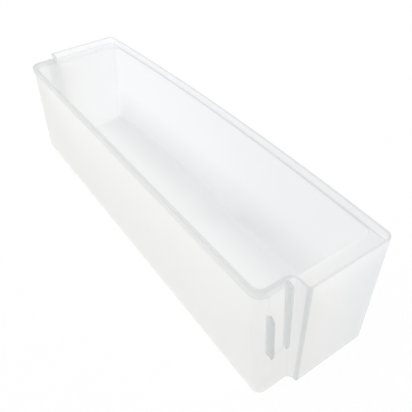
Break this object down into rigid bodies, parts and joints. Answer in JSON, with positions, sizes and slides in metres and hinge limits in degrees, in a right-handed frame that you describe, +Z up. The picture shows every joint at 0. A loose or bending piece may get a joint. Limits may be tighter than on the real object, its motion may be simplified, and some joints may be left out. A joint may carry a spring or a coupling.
{
  "type": "fridge door shelf",
  "caption": "Long translucent open-topped trough with a bowed front, an ear at each end and ribbed end channels, which hangs inside a fridge door to hold bottles and jars.",
  "frame": {"origin": "middle of the shelf's length and overall depth, on the underside of its floor", "axes": "+X along the shelf, to the right when seen from the front; -Y out of the bowed front, +Y towards the door; +Z up through the open top"},
  "size_m": [0.424, 0.1124, 0.103],
  "materials": {
    "frosted_plastic": "translucent white, fine frosted texture"
  },
  "bodies": {
    "root": {"door_shelf": "frosted_plastic"}
  },
  "joints": []
}
